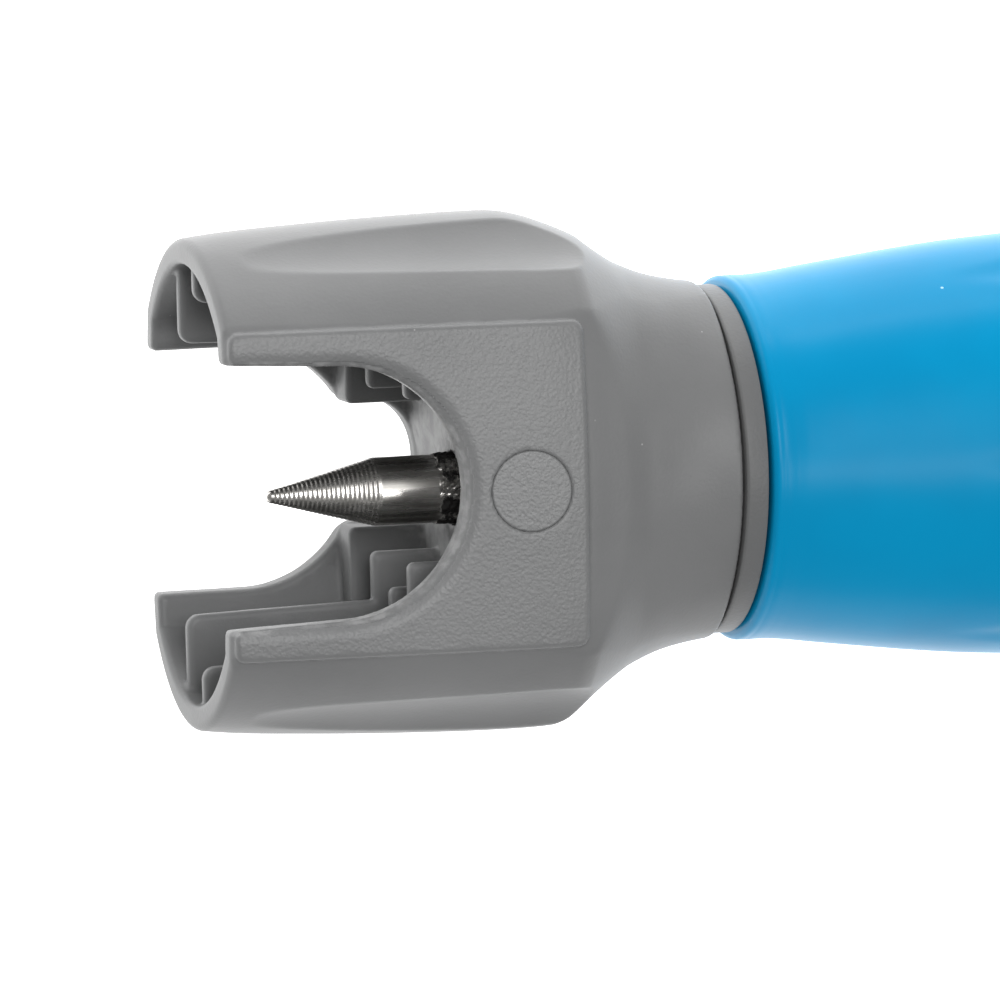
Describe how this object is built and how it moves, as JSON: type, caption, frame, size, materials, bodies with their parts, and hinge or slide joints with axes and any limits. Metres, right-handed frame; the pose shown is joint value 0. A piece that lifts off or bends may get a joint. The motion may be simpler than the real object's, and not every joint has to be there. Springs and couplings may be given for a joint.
{
  "type": "tubing hole punch",
  "caption": "Hand punch with a steel point inside a forked saddle head that swivels on a straight oval grip.",
  "frame": {"origin": "centre of the flat butt face at the end of the handle", "axes": "+X out of the butt face along the tool's long axis, so the steel point looks toward -X; Y across the two jaws of the head; +Z out of the upper flank of the tool as it lies on its side"},
  "size_m": [0.1429, 0.036, 0.0272],
  "materials": {
    "head_grey": "moulded grey nylon, satin with a fine spark-eroded grain on the flank panels",
    "core_grey": "satin grey nylon",
    "grip_blue": "smooth semi-gloss blue",
    "point_steel": "turned, with fine rings on the cone and a dark coarse knurl",
    "plain_steel": "plain bright steel",
    "seal_rubber": "black nitrile",
    "washer_white": "natural acetal",
    "insert_brass": "turned brass"
  },
  "bodies": {
    "handle": {"handle_core": "core_grey", "grip_sleeve": "grip_blue", "retaining_ring": "plain_steel", "journal_o_ring": "seal_rubber", "thrust_washer": "washer_white", "thread_insert": "insert_brass", "core_screw": "plain_steel", "screw_washer": "plain_steel", "butt_cap": "grip_blue"},
    "head": {"saddle_head": "head_grey", "punch_pin": "point_steel", "cross_dowel": "plain_steel", "dowel_plug": "head_grey"}
  },
  "joints": [
    {"name": "head_swivel", "type": "hinge", "parent": "handle", "child": "head", "pos_m": [-0.1066, 0, 0], "axis": [1, 0, 0], "continuous": true}
  ]
}
